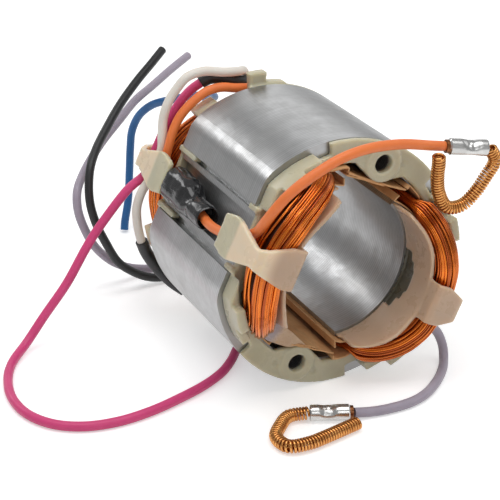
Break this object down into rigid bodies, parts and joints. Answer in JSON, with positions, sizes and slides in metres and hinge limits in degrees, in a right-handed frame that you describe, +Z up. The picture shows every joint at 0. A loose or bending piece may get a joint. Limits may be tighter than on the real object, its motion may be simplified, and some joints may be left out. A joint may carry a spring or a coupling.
{
  "type": "wound stator",
  "caption": "Two-pole laminated steel field stator with enamelled copper coils between moulded end frames, coloured leads, a sleeved splice and brush leads with spring contact loops.",
  "frame": {"origin": "middle of the armature bore, half way along the steel stack", "axes": "Y along the bore with the front face towards -Y, Z up as it lies, X to the right seen from the front"},
  "size_m": [0.1427, 0.1817, 0.0859],
  "materials": {
    "steel": "satin sheet-steel edges",
    "moulding": "translucent ivory moulding",
    "enamelled_copper": null,
    "slot_paper": null,
    "black_sleeve": "shrunk sleeve",
    "tin": "tinned crimp",
    "spring_bronze": "bronze spring wire",
    "orange_insulation": "wire insulation",
    "white_insulation": "wire insulation",
    "pink_insulation": "wire insulation",
    "black_insulation": "wire insulation",
    "lilac_insulation": "wire insulation",
    "blue_insulation": "wire insulation"
  },
  "bodies": {
    "root": {"lamination_stack": "steel", "front_end_frame": "moulding", "rear_end_frame": "moulding", "coil_left": "enamelled_copper", "coil_right": "enamelled_copper", "slot_liner_top_left": "slot_paper", "slot_liner_top_right": "slot_paper", "slot_liner_bottom_left": "slot_paper", "slot_liner_bottom_right": "slot_paper", "splice_sleeve": "black_sleeve", "splice_crimp": "tin", "rear_orange_lead": "orange_insulation", "white_lead": "white_insulation", "white_sleeve": "black_sleeve", "pink_lead": "pink_insulation", "pink_sleeve": "black_sleeve", "black_lead": "black_insulation", "rear_lilac_lead": "lilac_insulation", "blue_lead": "blue_insulation", "front_orange_lead": "orange_insulation", "orange_ferrule": "tin", "orange_spring": "spring_bronze", "front_lilac_lead": "lilac_insulation", "lilac_ferrule": "tin", "lilac_spring": "spring_bronze"}
  },
  "joints": []
}
